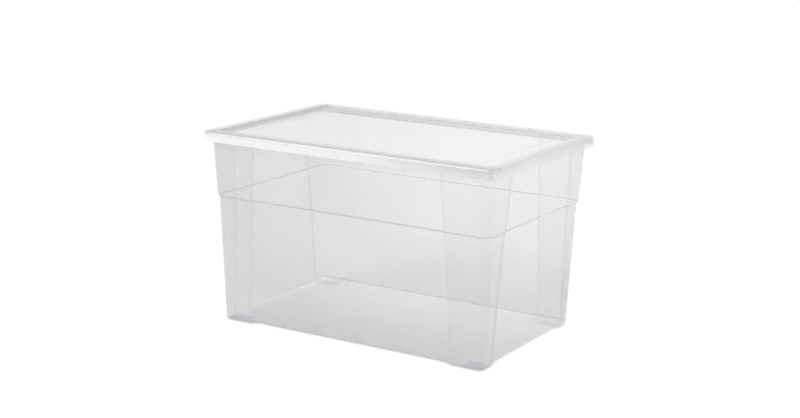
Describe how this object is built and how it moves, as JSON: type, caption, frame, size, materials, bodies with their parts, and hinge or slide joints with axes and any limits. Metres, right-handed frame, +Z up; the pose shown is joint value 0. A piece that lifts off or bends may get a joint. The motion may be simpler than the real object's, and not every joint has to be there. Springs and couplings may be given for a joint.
{
  "type": "storage box",
  "caption": "Tall translucent plastic storage box with drafted walls, recessed clear panels between frosted corner pillars, a stacking step, corner feet and a lift-off lid.",
  "frame": {"origin": "centre of the footprint on the floor that the feet stand on", "axes": "+X along the long side, +Y across to the rear long side, +Z up, the front long side faces -Y"},
  "size_m": [0.59, 0.387, 0.35],
  "materials": {
    "clear_plastic": "translucent polypropylene, glossy panels and frosted pillars",
    "frosted_plastic": "translucent polypropylene, frosted ring and skirt, glossy panel"
  },
  "bodies": {
    "tub": {"tub": "clear_plastic"},
    "lid": {"lid": "frosted_plastic"}
  },
  "joints": [
    {"name": "lid_lift", "type": "slide", "parent": "tub", "child": "lid", "axis": [0, 0, 1], "range_m": [0, 0.1]}
  ]
}
